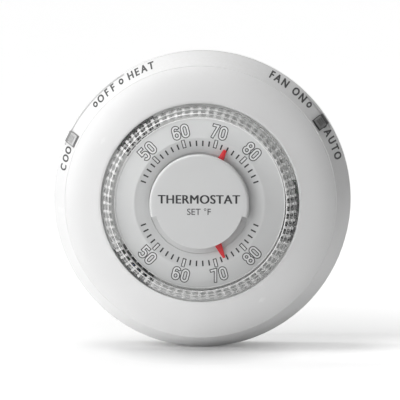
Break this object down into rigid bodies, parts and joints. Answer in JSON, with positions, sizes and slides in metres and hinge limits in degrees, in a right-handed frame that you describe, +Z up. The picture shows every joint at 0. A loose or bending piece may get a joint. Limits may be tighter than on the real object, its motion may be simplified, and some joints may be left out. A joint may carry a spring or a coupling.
{
  "type": "wall thermostat",
  "caption": "Round wall thermostat with a clear ribbed setting dial, a two-way temperature scale, a coil thermometer, rim selector levers and a pull-off head.",
  "frame": {"origin": "centre of the wall plate's back face, on the wall", "axes": "+Y into the wall, the face towards -Y, +Z up, +X to the right as seen from the front"},
  "size_m": [0.09, 0.038, 0.09],
  "materials": {
    "case_white": "fine satin texture, moulded",
    "cover_white": "fine satin texture, moulded",
    "black_plastic": "moulded",
    "brass": "bright turned",
    "steel": "zinc plated",
    "circuit_board": "solder mask",
    "relay_plastic": "moulded",
    "capacitor_sleeve": "shrunk sleeve",
    "thermistor_epoxy": "dipped epoxy",
    "slider_white": "moulded",
    "clear_acrylic": "clear polished, ribbed",
    "sleeve_white": "moulded",
    "contact_copper": "sprung copper alloy",
    "pointer_red": "painted red",
    "scale_grey": "satin, printed scale",
    "cap_grey": "satin",
    "bimetal": "rolled strip",
    "lever_white": "moulded",
    "lever_grey": "moulded"
  },
  "bodies": {
    "wall_side": {"wall_plate": "case_white", "terminal_block_left": "black_plastic", "terminal_block_right": "black_plastic", "terminal_clamp_left_1": "brass", "terminal_clamp_left_2": "brass", "terminal_clamp_left_3": "brass", "terminal_clamp_left_4": "brass", "terminal_clamp_right_1": "brass", "terminal_clamp_right_2": "brass", "terminal_clamp_right_3": "brass", "terminal_clamp_right_4": "brass", "terminal_screw_left_1": "steel", "terminal_screw_left_2": "steel", "terminal_screw_left_3": "steel", "terminal_screw_left_4": "steel", "terminal_screw_right_1": "steel", "terminal_screw_right_2": "steel", "terminal_screw_right_3": "steel", "terminal_screw_right_4": "steel"},
    "head": {"rear_housing": "case_white", "front_cover": "cover_white", "case_screw_1": "steel", "case_screw_2": "steel", "case_screw_3": "steel", "circuit_board": "circuit_board", "relay_1": "relay_plastic", "relay_2": "relay_plastic", "relay_3": "relay_plastic", "capacitor_1": "capacitor_sleeve", "capacitor_2": "capacitor_sleeve", "controller_chip": "black_plastic", "thermistor": "thermistor_epoxy", "pin_header_left": "black_plastic", "pin_header_right": "black_plastic", "fuel_switch": "black_plastic", "scale_plate": "scale_grey", "centre_cap": "cap_grey", "bimetal_coil": "bimetal"},
    "setting_dial": {"clear_dial": "clear_acrylic", "dial_sleeve": "sleeve_white", "wiper_ring": "contact_copper", "set_pointer": "pointer_red"},
    "thermometer": {"room_pointer": "pointer_red", "pointer_arbor": "brass"},
    "system_selector": {"system_lever": "lever_white", "system_contact": "contact_copper"},
    "fan_selector": {"fan_lever": "lever_grey", "fan_contact": "contact_copper"},
    "fuel_selector": {"fuel_slider": "slider_white"}
  },
  "joints": [
    {"name": "head_pull_off", "type": "slide", "parent": "wall_side", "child": "head", "axis": [0, -1, 0], "range_m": [0, 0.03]},
    {"name": "setting_dial_turn", "type": "hinge", "parent": "head", "child": "setting_dial", "pos_m": [0, -0.034, 0], "axis": [0, 1, 0], "range_deg": [-100.5, 49.5]},
    {"name": "thermometer_turn", "type": "hinge", "parent": "head", "child": "thermometer", "pos_m": [0, -0.034, 0], "axis": [0, 1, 0], "range_deg": [-50.5, 99.5], "stiffness_Nm_per_rad": 0.0005, "deforming": ["bimetal_coil"]},
    {"name": "system_lever_turn", "type": "hinge", "parent": "head", "child": "system_selector", "pos_m": [0, -0.018, 0], "axis": [0, 1, 0], "range_deg": [0, 30.6]},
    {"name": "fan_lever_turn", "type": "hinge", "parent": "head", "child": "fan_selector", "pos_m": [0, -0.018, 0], "axis": [0, 1, 0], "range_deg": [-9, 0]},
    {"name": "fuel_switch_slide", "type": "slide", "parent": "head", "child": "fuel_selector", "axis": [1, 0, 0], "range_m": [0, 0.0024]}
  ]
}
